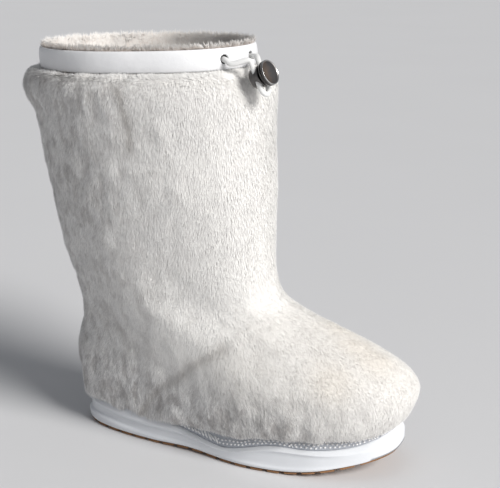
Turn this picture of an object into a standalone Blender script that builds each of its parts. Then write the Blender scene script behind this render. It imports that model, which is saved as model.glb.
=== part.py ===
"""Calf-high mukluk boot, right foot: shearling upper, leather collar binding, drawcord with a
metal cord lock, stitched rand, sculpted midsole and gum outsole.

Metres, +Z up. The toe points to +X and the inner side of the foot to +Y. The origin lies on the
floor under the middle of the heel.
"""
import math

import bmesh
import bpy
import numpy as np
from mathutils import Matrix, Vector

# Driving sizes of the sole
soleLength = 0.275
forefootWidth = 0.100
heelWidth = 0.074
heelToOrigin = 0.035
toeSpring = 0.016
toeSpringStart = 0.68
springCurve = 1.7
toeSwing = 0.006
toeSwingStart = 0.55
archRise = 0.0012
archPlace = 0.40
archReach = 0.09
heelBevel = 0.003
heelBevelReach = 0.07
gumThickness = 0.0022
gumInset = 0.0010
gumEdgeWidth = 0.0020
gumEdgeHeight = 0.0007
toeGumThickness = 0.0060
toeWedgeStart = 0.915
toeWedgeReach = 0.06
lugDepth = 0.0014
lugPitch = 0.014
lugGap = 0.0035
lugWall = 0.0005
midsoleHeight = 0.026
foamEdge = 0.0016
sideRecess = 0.0026
flangeRounding = 0.0020
ridgeRounding = 0.0022
rimInset = 0.0034
rimRounding = 0.0010
rimSlope = 0.0010
midsoleRimWidth = 0.0095
footbedDrop = 0.002
insoleThickness = 0.004
insoleEdge = 0.0008

# Driving sizes of the rand, the strip that is stitched round the forefoot
randHeight = 0.0090
randThickness = 0.0025
randInset = 0.0035
randBulge = 0.0003
randLean = 0.0007
randStart = 0.30

# Driving sizes of the upper and its fur
bootHeight = 0.307
shaftWidth = 0.156
wallFoot = 0.0055
lockHeight = 0.0016
openRow = 0.006
hemTip = 0.0022
hemOverlap = 0.0010
seamDepth = 0.0030
seamWidth = 0.0070
vampStep = 0.0014
vampTop = 0.135
vampFade = 0.020
creaseDepth = 0.0020
creaseWidth = 0.0080

# Driving sizes of the collar binding and its eyelets
bindingHeight = 0.016
bindingThickness = 0.003
bindingInset = 0.004
bindingBulge = 0.0008
bindingRounding = 0.0008
eyeletDiameter = 0.007
rightEyeletTurn = 1.0
leftEyeletTurn = 20.0

# Driving sizes of the cord lock and the drawcord
cordDiameter = 0.0042
headDiameter = 0.019
headThickness = 0.0042
headEdge = 0.0009
barrelDiameter = 0.016
barrelLength = 0.0085
barrelEdge = 0.0008
boreFromFront = 0.0036
stemReach = 0.0050
stroke = 0.0020
stemDiameter = 0.0030
strandSpacing = 0.0096
toggleFace = Vector((0.1405, -0.0250, 0.3070))
toggleAxis = Vector((0.889, -0.161, 0.426)).normalized()
dentDepth = 0.009
dentWidth = 0.016

# Clearances: between pieces that meet, between curved seats whose facets differ, over the rand,
# round the plunger's stem and round the cord's strands, and how far a cutter reaches past a face
gap = 0.0003
seatGap = 0.0008
randClearance = 0.0024
runningGap = 0.0003
strandGap = 0.0006
cutReach = 0.004

# Mesh counts
soleStations = 42
upperColumns = 64
furRows = 24
liningRows = 12
lockRows = 3

# Sole outline: half widths as shares of the forefoot's width, by place along the sole
outlineColumns = ("at", "lateral", "medial")
outlineRows = (
    (0.00, 0.36, 0.36),
    (0.13, 0.38, 0.37),
    (0.40, 0.41, 0.32),
    (0.62, 0.50, 0.43),
    (0.78, 0.50, 0.48),
    (0.92, 0.44, 0.47),
    (1.00, 0.40, 0.44),
)
outlineSquareness = 3.0
heelShareOfForefoot = 0.74
heelWidening = 0.45

# Side of the midsole, heights as shares of its height at the heel: its upper edge, the recess
# between its lower flange and its ridge, and how deep that recess is as a share of its depth
sideColumns = ("at", "edge", "low", "high", "recess")
sideRows = (
    (0.00, 0.98, 0.40, 0.80, 0.85),
    (0.10, 0.95, 0.34, 0.66, 0.95),
    (0.20, 0.95, 0.26, 0.58, 1.00),
    (0.27, 0.94, 0.235, 0.55, 0.95),
    (0.31, 0.85, 0.225, 0.545, 0.90),
    (0.36, 0.76, 0.22, 0.54, 0.80),
    (0.40, 0.65, 0.217, 0.50, 0.60),
    (0.45, 0.535, 0.215, 0.42, 0.35),
    (0.51, 0.43, 0.21, 0.33, 0.00),
    (0.55, 0.49, 0.207, 0.38, 0.15),
    (0.62, 0.70, 0.205, 0.58, 0.40),
    (0.69, 0.87, 0.20, 0.72, 0.45),
    (0.76, 0.79, 0.20, 0.67, 0.45),
    (0.84, 0.68, 0.17, 0.53, 0.30),
    (0.92, 0.61, 0.13, 0.42, 0.00),
    (1.00, 0.72, 0.12, 0.42, 0.00),
)

# Floor of the footbed, as shares of the midsole's height at the heel
floorColumns = ("at", "floor")
floorRows = (
    (0.00, 0.80),
    (0.20, 0.78),
    (0.42, 0.42),
    (0.52, 0.34),
    (0.70, 0.50),
    (1.00, 0.50),
)

# How far the fur's lower edge stands above the midsole, as a share of the rand's height
hemColumns = ("at", "rise")
hemRows = (
    (0.00, 0.06),
    (0.26, 0.06),
    (0.33, 0.12),
    (0.37, 0.25),
    (0.42, 0.75),
    (0.46, 1.00),
    (0.50, 1.20),
    (0.55, 0.95),
    (0.62, 0.90),
    (0.70, 0.60),
    (0.76, 0.70),
    (0.84, 0.85),
    (0.92, 0.65),
    (0.96, 0.50),
    (1.00, 0.40),
)

# Outer form of the fur. Each section lies in a plane from the back to the front of the boot:
# places as shares of the sole's length and of the height above the heel seat, half widths over
# heel, waist and ball as shares of the forefoot's width (foot) or of the shaft's width (shaft)
sectionStations = (0.0, 0.15, 0.42, 0.68, 1.0)
sectionColumns = ("backX", "backZ", "frontX", "frontZ", "heel", "waist", "ball", "square", "swing")
footRows = (
    (-0.007, 0.000, 1.000, 0.036, 0.40, 0.45, 0.54, 2.8, 1.0),
    (-0.025, 0.054, 1.026, 0.098, 0.43, 0.48, 0.57, 2.7, 1.0),
    (-0.033, 0.121, 1.033, 0.136, 0.44, 0.49, 0.57, 2.6, 1.0),
    (-0.029, 0.192, 1.010, 0.177, 0.45, 0.50, 0.54, 2.4, 0.8),
    (-0.025, 0.256, 0.955, 0.216, 0.46, 0.51, 0.475, 2.2, 0.7),
    (-0.025, 0.317, 0.869, 0.250, 0.48, 0.53, 0.42, 2.1, 0.6),
    (-0.040, 0.377, 0.771, 0.279, 0.51, 0.55, 0.40, 2.05, 0.5),
    (-0.067, 0.438, 0.692, 0.312, 0.54, 0.58, 0.42, 2.0, 0.3),
)
shaftRows = (
    (-0.078, 0.491, 0.642, 0.341, 0.36, 0.39, 0.31, 2.0, 0.2),
    (-0.080, 0.559, 0.611, 0.395, 0.38, 0.41, 0.35, 2.05, 0.0),
    (-0.090, 0.644, 0.604, 0.502, 0.40, 0.435, 0.39, 2.1, 0.0),
    (-0.105, 0.754, 0.604, 0.662, 0.44, 0.46, 0.445, 2.1, 0.0),
    (-0.120, 0.861, 0.598, 0.819, 0.465, 0.48, 0.465, 2.1, 0.0),
    (-0.160, 0.929, 0.603, 0.929, 0.49, 0.50, 0.485, 2.1, 0.0),
    (-0.156, 0.957, 0.598, 0.964, 0.485, 0.495, 0.48, 2.1, 0.0),
    (-0.138, 0.975, 0.582, 0.989, 0.465, 0.475, 0.46, 2.1, 0.0),
    (-0.116, 0.979, 0.556, 1.000, 0.440, 0.45, 0.435, 2.1, 0.0),
)
liningFootRows = (
    (0.040, 0.032, 0.930, 0.062, 0.275, 0.30, 0.38, 2.6, 1.0),
    (0.022, 0.072, 0.962, 0.096, 0.31, 0.36, 0.45, 2.5, 1.0),
    (0.015, 0.124, 0.970, 0.122, 0.32, 0.37, 0.45, 2.4, 1.0),
    (0.015, 0.190, 0.935, 0.166, 0.33, 0.38, 0.42, 2.3, 0.8),
    (0.018, 0.253, 0.862, 0.206, 0.34, 0.39, 0.36, 2.15, 0.7),
    (0.020, 0.310, 0.772, 0.242, 0.36, 0.41, 0.32, 2.05, 0.6),
    (0.007, 0.374, 0.678, 0.276, 0.38, 0.42, 0.30, 2.0, 0.5),
    (-0.011, 0.434, 0.600, 0.312, 0.41, 0.45, 0.32, 2.0, 0.3),
)
liningShaftRows = (
    (-0.020, 0.488, 0.563, 0.352, 0.275, 0.31, 0.245, 2.0, 0.2),
    (-0.029, 0.555, 0.556, 0.406, 0.295, 0.33, 0.27, 2.05, 0.0),
    (-0.044, 0.641, 0.556, 0.505, 0.315, 0.355, 0.31, 2.1, 0.0),
    (-0.065, 0.754, 0.556, 0.662, 0.34, 0.38, 0.355, 2.1, 0.0),
    (-0.084, 0.861, 0.556, 0.819, 0.38, 0.39, 0.375, 2.1, 0.0),
    (-0.090, 0.940, 0.538, 0.957, 0.39, 0.40, 0.385, 2.1, 0.0),
)

# Seam between vamp and shaft, and crease at the ankle, as shares of the sole's length and of the
# height above the heel seat, seen from the side
seamLine = ((0.235, 0.00), (0.290, 0.07), (0.375, 0.145), (0.470, 0.215), (0.520, 0.255))
creaseLine = ((-0.06, 0.345), (0.04, 0.320), (0.13, 0.262), (0.22, 0.235))

# Route of the drawcord, chosen by hand: out of the lateral eyelet, along the binding's foot,
# through the cord lock, round the loop and back to the front eyelet, and the pitch of its points
cordRoute = (
    (0.1022, -0.0269, 0.3147),
    (0.1062, -0.0295, 0.3145),
    (0.1090, -0.0313, 0.3134),
    (0.1118, -0.0318, 0.3122),
    (0.1154, -0.0311, 0.3124),
    (0.1192, -0.0298, 0.3136),
    (0.1227, -0.0284, 0.3146),
    (0.1253, -0.0274, 0.3141),
    (0.1268, -0.0274, 0.3111),
    (0.1307, -0.0281, 0.3027),
    (0.1334, -0.0286, 0.2967),
    (0.1342, -0.0287, 0.2951),
    (0.1359, -0.0276, 0.2920),
    (0.1371, -0.0244, 0.2907),
    (0.1371, -0.0209, 0.2920),
    (0.1359, -0.0192, 0.2951),
    (0.1351, -0.0192, 0.2967),
    (0.1324, -0.0186, 0.3027),
    (0.1285, -0.0179, 0.3111),
    (0.1271, -0.0169, 0.3136),
    (0.1250, -0.0136, 0.3151),
    (0.1219, -0.0083, 0.3156),
    (0.1183, -0.0035, 0.3151),
    (0.1148, -0.0016, 0.3146),
    (0.1107, -0.0013, 0.3143),
)
cordPitch = 0.0034


def column(rows, names, name):
    """One named column of a table as an array."""
    return np.array([row[names.index(name)] for row in rows], float)


def smooth(places, values, at):
    """Monotone cubic curve through the points (places, values)."""
    step = np.diff(places)
    slope = np.diff(values) / step
    tangent = np.zeros(len(places))
    rising = slope[:-1] * slope[1:] > 0
    total = np.where(rising, slope[:-1] + slope[1:], 1.0)
    tangent[1:-1] = np.where(rising, 2 * slope[:-1] * slope[1:] / total, 0.0)
    tangent[0], tangent[-1] = slope[0], slope[-1]
    at = np.clip(at, places[0], places[-1])
    k = np.clip(np.searchsorted(places, at, side="right") - 1, 0, len(step) - 1)
    u = (at - places[k]) / step[k]
    start = values[k] * (1 + 2 * u) * (1 - u) ** 2 + values[k + 1] * u * u * (3 - 2 * u)
    return start + step[k] * (tangent[k] * u * (1 - u) ** 2 - tangent[k + 1] * u * u * (1 - u))


def tableValue(rows, names, name, at):
    return smooth(column(rows, names, names[0]), column(rows, names, name), at)


def springAt(t):
    """Height of the toe spring at the share t of the sole's length."""
    share = np.clip((t - toeSpringStart) / (1 - toeSpringStart), 0, 1)
    return toeSpring * share ** springCurve


def groundLine(t):
    """Lower surface of the outsole: flat under heel and forefoot, raised at the arch and toe."""
    arch = archRise * np.clip(1 - ((t - archPlace) / archReach) ** 2, 0, 1)
    heel = heelBevel * np.clip(1 - t / heelBevelReach, 0, 1) ** 2
    return springAt(t) + arch + heel


def gumTop(t):
    """Upper surface of the outsole, which thickens into a wedge at the toe."""
    share = np.clip((t - toeWedgeStart) / toeWedgeReach, 0, 1)
    return groundLine(t) + gumThickness + (toeGumThickness - gumThickness) * share


def edgeTop(t):
    """Upper edge of the midsole's side."""
    return springAt(t) + midsoleHeight * tableValue(sideRows, sideColumns, "edge", t)


def hemTop(t):
    """Where the rand ends and the fur's full thickness begins."""
    return edgeTop(t) + gap + randHeight * tableValue(hemRows, hemColumns, "rise", t)


def footbedTop(t):
    """Floor inside the midsole's rim, under the insole."""
    return springAt(t) + midsoleHeight * tableValue(floorRows, floorColumns, "floor", t) - footbedDrop


def stationShares(count):
    """Places along the sole, closer together at its ends."""
    return (1 - np.cos(np.linspace(0, math.pi, count))) / 2


def outlineSides(inset, height, shares):
    """Points on the lateral and on the medial side of the sole's outline."""
    x = inset + shares * (soleLength - 2 * inset)
    rounding = np.clip(1 - np.abs(2 * shares - 1) ** outlineSquareness, 0, 1)
    rounding = rounding ** (1 / outlineSquareness)
    swing = toeSwing * np.clip((shares - toeSwingStart) / (1 - toeSwingStart), 0, 1) ** 2
    heelShare = np.clip(1 - shares / heelWidening, 0, 1)
    widen = 1 + (heelWidth / (heelShareOfForefoot * forefootWidth) - 1) * heelShare
    z = height(shares)
    sides = []
    for name, sign in (("lateral", -1), ("medial", 1)):
        half = forefootWidth * widen * tableValue(outlineRows, outlineColumns, name, shares)
        sides.append(np.stack((x, sign * (half - inset) * rounding + swing, z), axis=1))
    return sides


def outlineRing(inset, height, shares):
    """Closed ring round the sole: the lateral side from heel to toe, then the medial side."""
    lateral, medial = outlineSides(inset, height, shares)
    return np.concatenate((lateral, medial[-2:0:-1]))


def evenRing(ring, count):
    """The same closed ring with evenly spaced points, from its first one on."""
    closed = np.concatenate((ring, ring[:1]))
    length = np.concatenate(([0.0], np.cumsum(np.linalg.norm(np.diff(closed, axis=0), axis=1))))
    wanted = np.linspace(0, length[-1], count + 1)[:-1]
    return np.stack([np.interp(wanted, length, closed[:, k]) for k in range(3)], axis=1)


def loftFaces(rings, columns, closed=False):
    """Quads between following rings, and back to the first one where closed."""
    faces = []
    last = rings if closed else rings - 1
    for r in range(last):
        low, high = r * columns, (r + 1) % rings * columns
        for c in range(columns):
            n = (c + 1) % columns
            faces.append((low + c, low + n, high + n, high + c))
    return faces


def capFaces(first, columns, up):
    """Strips across a ring whose two sides have the same stations."""
    faces = []
    half = columns // 2
    for k in range(half):
        near = [first + k, first + k + 1]
        far = [first + (columns - k - 1) % columns, first + (columns - k) % columns]
        corners = list(dict.fromkeys(near + far))
        faces.append(tuple(corners) if up else tuple(reversed(corners)))
    return faces


def addMesh(name, points, faces, material, parent, smoothAngle=35):
    mesh = bpy.data.meshes.new(name)
    mesh.from_pydata([tuple(map(float, p)) for p in points], [], faces)
    mesh.validate()
    mesh.shade_smooth()
    mesh.set_sharp_from_angle(angle=math.radians(smoothAngle))
    mesh.materials.append(material)
    made = bpy.data.objects.new(name, mesh)
    boot.objects.link(made)
    made.parent = parent
    return made


def addMaterial(name, colour, roughness, metallic=0.0):
    made = bpy.data.materials.new(name)
    made.use_nodes = True
    shader = made.node_tree.nodes["Principled BSDF"]
    shader.inputs["Base Color"].default_value = (*colour, 1.0)
    shader.inputs["Roughness"].default_value = roughness
    shader.inputs["Metallic"].default_value = metallic
    return made


def solidFromRings(name, rings, material, parent):
    """Closed solid from rings that run from its lower face to its upper face."""
    columns = len(rings[0])
    faces = capFaces(0, columns, up=False) + loftFaces(len(rings), columns)
    faces += capFaces((len(rings) - 1) * columns, columns, up=True)
    return addMesh(name, np.concatenate(rings), faces, material, parent)


def tubeFromRings(name, rings, material, parent, smoothAngle=35):
    """Closed solid with a hole through it, from rings that run round its wall."""
    faces = loftFaces(len(rings), len(rings[0]), closed=True)
    return addMesh(name, np.concatenate(rings), faces, material, parent, smoothAngle)


def lugStations():
    """Stations of the outsole, with two at each side of each groove between lugs."""
    halfGap = lugGap / 2 / soleLength
    wall = lugWall / soleLength
    grooves = []
    edges = []
    for k in range(1, int(soleLength / lugPitch)):
        middle = k * lugPitch / soleLength
        grooves.append((middle - halfGap, middle + halfGap))
        edges += [middle - halfGap - wall, middle - halfGap]
        edges += [middle + halfGap, middle + halfGap + wall]
    near = 2 * wall
    plain = [s for s in stationShares(soleStations)
             if not any(low - wall - near < s < high + wall + near for low, high in grooves)]
    return np.array(sorted(plain + edges)), grooves


def makeOutsole(material, parent):
    shares, grooves = lugStations()

    def tread(t):
        cut = np.zeros_like(t)
        for low, high in grooves:
            cut[(t > low - 1e-6) & (t < high + 1e-6)] = lugDepth
        return groundLine(t) + cut

    rings = (
        outlineRing(gumInset + gumEdgeWidth, tread, shares),
        outlineRing(gumInset + 0.2 * gumEdgeWidth, lambda t: tread(t) + gumEdgeHeight, shares),
        outlineRing(gumInset, gumTop, shares),
    )
    return solidFromRings("outsole", rings, material, parent)


def makeMidsole(material, parent):
    shares = stationShares(soleStations)

    def sideLevel(name, extra):
        def level(t):
            return springAt(t) + midsoleHeight * tableValue(sideRows, sideColumns, name, t) + extra
        return level

    share = tableValue(sideRows, sideColumns, "recess", shares)
    share = np.concatenate((share, share[-2:0:-1]))[:, None]

    def recessRing(height):
        outer = outlineRing(0.0, height, shares)
        return outer + (outlineRing(sideRecess, height, shares) - outer) * share

    def underside(t):
        return gumTop(t) + gap

    rimEnd = rimInset + midsoleRimWidth
    rings = (
        outlineRing(foamEdge, underside, shares),
        outlineRing(0.25 * foamEdge, lambda t: underside(t) + 0.4 * foamEdge, shares),
        outlineRing(0.0, sideLevel("low", -0.2 * flangeRounding), shares),
        recessRing(sideLevel("low", 0.8 * flangeRounding)),
        recessRing(sideLevel("high", -0.5 * ridgeRounding)),
        outlineRing(0.0, sideLevel("high", 0.5 * ridgeRounding), shares),
        outlineRing(ridgeRounding, lambda t: edgeTop(t) - rimRounding, shares),
        outlineRing(rimInset, edgeTop, shares),
        outlineRing(rimEnd, edgeTop, shares),
        outlineRing(rimEnd + rimSlope, footbedTop, shares),
    )
    return solidFromRings("midsole", rings, material, parent)


def makeInsole(material, parent):
    shares = stationShares(soleStations // 2)
    inset = rimInset + midsoleRimWidth + rimSlope + seatGap

    def level(rise):
        return lambda t: footbedTop(t) + seatGap + rise

    rings = (
        outlineRing(inset + insoleEdge, level(0.0), shares),
        outlineRing(inset, level(insoleEdge), shares),
        outlineRing(inset, level(insoleThickness - insoleEdge), shares),
        outlineRing(inset + insoleEdge, level(insoleThickness), shares),
    )
    return solidFromRings("insole", rings, material, parent)


def makeRand(material, parent):
    """Strip on the midsole's rim that runs round the forefoot from waist to waist."""
    shares = stationShares(soleStations)
    shares = np.concatenate(([randStart], shares[shares > randStart + 0.01]))
    profile = ((0.0, 0.0), (-randBulge, 0.45), (randLean, 1.0), (randThickness, 1.0),
               (randThickness, 0.0))

    def level(rise):
        return lambda t: edgeTop(t) + gap + rise * (hemTop(t) - edgeTop(t) - gap)

    strips = []
    for depth, rise in profile:
        lateral, medial = outlineSides(randInset + depth, level(rise), shares)
        strips.append(np.concatenate((lateral, medial[-2::-1])))
    length = len(strips[0])
    sides = len(profile)
    faces = []
    for s in range(sides):
        low, high = s * length, (s + 1) % sides * length
        for c in range(length - 1):
            faces.append((low + c, low + c + 1, high + c + 1, high + c))
    faces.append(tuple(s * length for s in range(sides)))
    faces.append(tuple(s * length + length - 1 for s in reversed(range(sides))))
    return addMesh("rand", np.concatenate(strips), faces, material, parent)


def sectionTable(foot, shaft):
    """The rows of both tables in metres, as one array with the tables' columns."""
    seat = midsoleHeight
    rise = bootHeight - seat
    rows = []
    for table, width in ((foot, forefootWidth), (shaft, shaftWidth)):
        for backX, backZ, frontX, frontZ, heel, waist, ball, square, swing in table:
            rows.append((backX * soleLength, seat + backZ * rise,
                         frontX * soleLength, seat + frontZ * rise,
                         heel * width, waist * width, ball * width, square, swing * toeSwing))
    return np.array(rows)


def sectionRing(section, count, inset=0.0, lift=0.0):
    """Evenly spaced ring in a section's plane, from the back by way of the lateral side."""
    backX, backZ, frontX, frontZ, heel, waist, ball, square, swing = section
    angle = np.linspace(0, 2 * math.pi, 361)[:-1]
    power = 2 / square
    cosine, sine = np.cos(angle), np.sin(angle)
    share = (1 - np.sign(cosine) * np.abs(cosine) ** power) / 2
    half = smooth(np.array(sectionStations), np.array((heel, heel, waist, ball, ball)) - inset, share)
    along = np.array((frontX - backX, frontZ - backZ))
    along /= np.linalg.norm(along)
    start = np.array((backX, backZ)) + inset * along
    end = np.array((frontX, frontZ)) - inset * along
    x = start[0] + (end[0] - start[0]) * share - lift * along[1]
    z = start[1] + (end[1] - start[1]) * share + lift * along[0]
    y = -np.sign(sine) * half * np.abs(sine) ** power
    y += swing * np.clip((share - 0.5) / 0.5, 0, 1) ** 2
    return evenRing(np.stack((x, y, z), axis=1), count)


def evenSections(table, count, kept):
    """Sections evenly spaced up the boot, with the last few of the table kept as they are."""
    body = table[:len(table) - kept]
    middle = (body[:, 0:2] + body[:, 2:4]) / 2
    steps = np.linalg.norm(np.diff(middle, axis=0), axis=1)
    length = np.concatenate(([0.0], np.cumsum(steps)))
    wanted = np.linspace(0, length[-1], count)
    even = np.stack([smooth(length, body[:, k], wanted) for k in range(table.shape[1])], axis=1)
    return np.concatenate((even, table[len(table) - kept:]))


def sideDistance(points, line):
    """Signed distance from a line seen from the side, positive in front of it."""
    rise = bootHeight - midsoleHeight
    line = np.array([(x * soleLength, midsoleHeight + z * rise) for x, z in line])
    flat = points[..., (0, 2)]
    best = np.full(flat.shape[:-1], 1e9)
    signed = np.full(flat.shape[:-1], 1e9)
    for a, b in zip(line[:-1], line[1:]):
        run = b - a
        share = np.clip(((flat - a) @ run) / (run @ run), 0, 1)
        away = flat - (a + share[..., None] * run)
        distance = np.linalg.norm(away, axis=-1)
        side = np.sign(run[1] * away[..., 0] - run[0] * away[..., 1])
        signed = np.where(distance < best, distance * side, signed)
        best = np.minimum(best, distance)
    return signed


def furLift(points):
    """How far the fur stands out from its sections: locks, vamp seam, ankle crease and the
    hollow that the cord lock presses into it. The points are a grid of rows and columns."""
    rows, columns = points.shape[:2]
    row = np.arange(rows)[:, None]
    col = np.arange(columns)[None, :]
    lockRow = row // lockRows
    down = 1 - (row % lockRows) / lockRows
    size = 0.72 + 0.28 * np.sin(col * 1.7 + lockRow * 2.3)
    locks = lockHeight * size * down * (0.5 + 0.5 * np.cos(math.pi * (col + lockRow)))
    spacing = np.linalg.norm(np.gradient(points, axis=0), axis=-1)
    openness = np.clip(spacing / openRow - 0.4, 0, 1)
    fade = np.clip((rows - 1 - row) / 4, 0, 1)
    seam = sideDistance(points, seamLine)
    crease = np.abs(sideDistance(points, creaseLine))
    lift = locks * fade - seamDepth * np.exp(-(seam / seamWidth) ** 2)
    onVamp = np.clip((vampTop - points[..., 2]) / vampFade, 0, 1)
    lift += vampStep * np.clip(seam / seamWidth, 0, 1) * onVamp
    lift -= creaseDepth * np.exp(-(crease / creaseWidth) ** 2)
    lift *= openness
    pressed = np.array(toggleFace - toggleAxis * (headThickness + stroke + gap + barrelLength))
    pressed[0] += heelToOrigin
    away = np.linalg.norm(points - pressed, axis=-1)
    lift -= dentDepth * np.exp(-(away / dentWidth) ** 2) * (row < rows - 1)
    return lift


def gridNormals(points):
    """Outward normals of a grid that is closed along its rows."""
    along = np.roll(points, -1, axis=1) - np.roll(points, 1, axis=1)
    up = np.gradient(points, axis=0)
    normal = np.cross(along, up)
    return normal / np.linalg.norm(normal, axis=-1, keepdims=True)


def makeUpper(material, parent):
    shares = stationShares(soleStations)
    outer = evenSections(sectionTable(footRows, shaftRows), furRows, kept=3)
    lining = evenSections(sectionTable(liningFootRows, liningShaftRows), liningRows, kept=1)
    footInset = randInset + randThickness + seatGap

    def footRing(inset, height):
        return evenRing(outlineRing(inset, height, shares), upperColumns)

    seated = footRing(footInset, lambda t: edgeTop(t) + seatGap)
    aboveRand = footRing(footInset, lambda t: hemTop(t) + randClearance + seatGap)
    overRand = footRing(randInset - hemOverlap, lambda t: hemTop(t) + randClearance)
    fur = np.stack([sectionRing(section, upperColumns) for section in outer])
    hemShare = np.clip(fur[0, :, 0] / soleLength, 0, 1)
    tips = hemTip * (0.5 + 0.5 * np.cos(math.pi * np.arange(upperColumns)))
    fur[0, :, 2] = hemTop(hemShare) + seatGap - tips * np.clip(hemShare * 4, 0.2, 1)
    fur = fur + gridNormals(fur) * furLift(fur)[..., None] * (np.arange(len(fur)) > 0)[:, None, None]
    topInset = bindingInset + bindingThickness
    topEdge = sectionRing(outer[-1], upperColumns, inset=topInset)
    inside = [sectionRing(section, upperColumns) for section in lining[::-1]]
    innerRim = footRing(footInset + wallFoot, lambda t: hemTop(t) + randClearance + 2 * seatGap)
    innerFoot = footRing(footInset + wallFoot, lambda t: edgeTop(t) + seatGap)
    rings = [seated, aboveRand, overRand, *fur, topEdge, *inside, innerRim, innerFoot]
    return tubeFromRings("upper", rings, material, parent, smoothAngle=60)


def bindingRing(inset, lift, count):
    rim = sectionTable(footRows, shaftRows)[-1]
    return sectionRing(rim, count, inset=bindingInset + inset, lift=gap + lift)


def eyeletPlace(turn):
    """Centre of an eyelet on the binding's outer face, and the way it faces, by its turn in
    degrees from the front towards the lateral side."""
    ring = bindingRing(0.0, bindingHeight / 2, 720)
    centre = ring.mean(axis=0)
    angle = np.degrees(np.arctan2(-(ring[:, 1] - centre[1]), ring[:, 0] - centre[0]))
    k = int(np.argmin(np.abs(angle - turn)))
    along = ring[(k + 1) % 720] - ring[k - 1]
    outward = Vector((along[1], -along[0], 0.0)).normalized()
    return Vector(ring[k]), outward


def cutWith(target, cutter):
    cutter.display_type = "WIRE"
    cutter.hide_render = True
    modifier = target.modifiers.new(cutter.name, "BOOLEAN")
    modifier.operation = "DIFFERENCE"
    modifier.object = cutter
    modifier.solver = "EXACT"


def addCylinder(name, collection, radius, length, segments, matrix, parent, bevel=0.0):
    """Cylinder whose middle lies at the matrix's place, along the matrix's Z."""
    mesh = bpy.data.meshes.new(name)
    shape = bmesh.new()
    bmesh.ops.create_cone(shape, cap_ends=True, segments=segments, radius1=radius, radius2=radius,
                          depth=length)
    if bevel:
        rims = [e for e in shape.edges if abs(e.verts[0].co.z - e.verts[1].co.z) < 1e-9]
        bmesh.ops.bevel(shape, geom=rims, offset=bevel, segments=2, affect="EDGES", profile=0.5)
    shape.to_mesh(mesh)
    shape.free()
    mesh.shade_smooth()
    mesh.set_sharp_from_angle(angle=math.radians(35))
    made = bpy.data.objects.new(name, mesh)
    collection.objects.link(made)
    made.parent = parent
    made.matrix_local = matrix
    return made


def makeBinding(material, parent):
    """Leather band round the collar, with the drawcord's two eyelets in front."""
    profile = ((0.0, 0.0), (-bindingBulge, 0.3), (-bindingBulge, 0.7), (0.0, 0.95),
               (bindingRounding, 1.0), (bindingThickness - bindingRounding, 1.0),
               (bindingThickness, 0.95), (bindingThickness, 0.0))
    rings = [bindingRing(inset, share * bindingHeight, upperColumns) for inset, share in profile]
    band = tubeFromRings("collar_binding", rings, material, parent, smoothAngle=50)
    for side, turn in (("front", rightEyeletTurn), ("lateral", leftEyeletTurn)):
        place, outward = eyeletPlace(turn)
        matrix = Matrix.Translation(place) @ outward.to_track_quat("Z", "Y").to_matrix().to_4x4()
        hole = addCylinder(f"eyelet_cutter_{side}", cutters, eyeletDiameter / 2,
                           4 * bindingThickness, 20, matrix, parent)
        cutWith(band, hole)
    return band


def along(distance, sideways=0.0, turn=None):
    """Place in the cord lock's own frame: a distance behind its face, on its axis."""
    matrix = Matrix.Translation(Vector((sideways, 0.0, -distance)))
    return matrix @ turn if turn is not None else matrix


def makeCordLock(metal, frame):
    """Barrel with two cross bores for the cord, and a sprung head that presses into it."""
    barrelStart = headThickness + stroke + gap
    boreAt = barrelStart + boreFromFront
    barrel = addCylinder("toggle_barrel", boot, barrelDiameter / 2, barrelLength, 32,
                         along(barrelStart + barrelLength / 2), frame, bevel=barrelEdge)
    barrel.data.materials.append(metal)
    quarter = Matrix.Rotation(math.pi / 2, 4, "X")
    for side, sign in (("inner", 1), ("outer", -1)):
        bore = addCylinder(f"strand_cutter_{side}", cutters, cordDiameter / 2 + strandGap,
                           1.5 * barrelDiameter, 16,
                           along(boreAt, sign * strandSpacing / 2, quarter), frame)
        cutWith(barrel, bore)
    stemLength = gap + stroke + stemReach
    boreDepth = stemReach + stroke + gap
    stemBore = addCylinder("stem_cutter", cutters, stemDiameter / 2 + runningGap,
                           boreDepth + cutReach, 16,
                           along(barrelStart + (boreDepth - cutReach) / 2), frame)
    cutWith(barrel, stemBore)
    head = addCylinder("toggle_plunger", boot, headDiameter / 2, headThickness, 36,
                       along(headThickness / 2), frame, bevel=headEdge)
    head.data.materials.append(metal)
    stem = addCylinder("stem_part", cutters, stemDiameter / 2, stemLength + headThickness / 2, 16,
                       along(headThickness / 2 + (stemLength + headThickness / 2) / 2), frame)
    stem.display_type = "WIRE"
    stem.hide_render = True
    joined = head.modifiers.new("stem", "BOOLEAN")
    joined.operation = "UNION"
    joined.object = stem
    joined.solver = "EXACT"


def routeCurve(points, pitch):
    """Points at an even pitch along a smooth curve through the given ones."""
    route = np.array(points)
    padded = np.concatenate((2 * route[:1] - route[1:2], route, 2 * route[-1:] - route[-2:-1]))
    fine = []
    for k in range(1, len(padded) - 2):
        p0, p1, p2, p3 = padded[k - 1:k + 3]
        for u in np.linspace(0, 1, 12, endpoint=False):
            fine.append(0.5 * (2 * p1 + (p2 - p0) * u + (2 * p0 - 5 * p1 + 4 * p2 - p3) * u * u
                               + (3 * p1 - p0 - 3 * p2 + p3) * u ** 3))
    fine = np.array(fine + [route[-1]])
    length = np.concatenate(([0.0], np.cumsum(np.linalg.norm(np.diff(fine, axis=0), axis=1))))
    wanted = np.linspace(0, length[-1], int(length[-1] / pitch) + 1)
    return np.stack([np.interp(wanted, length, fine[:, k]) for k in range(3)], axis=1)


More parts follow.
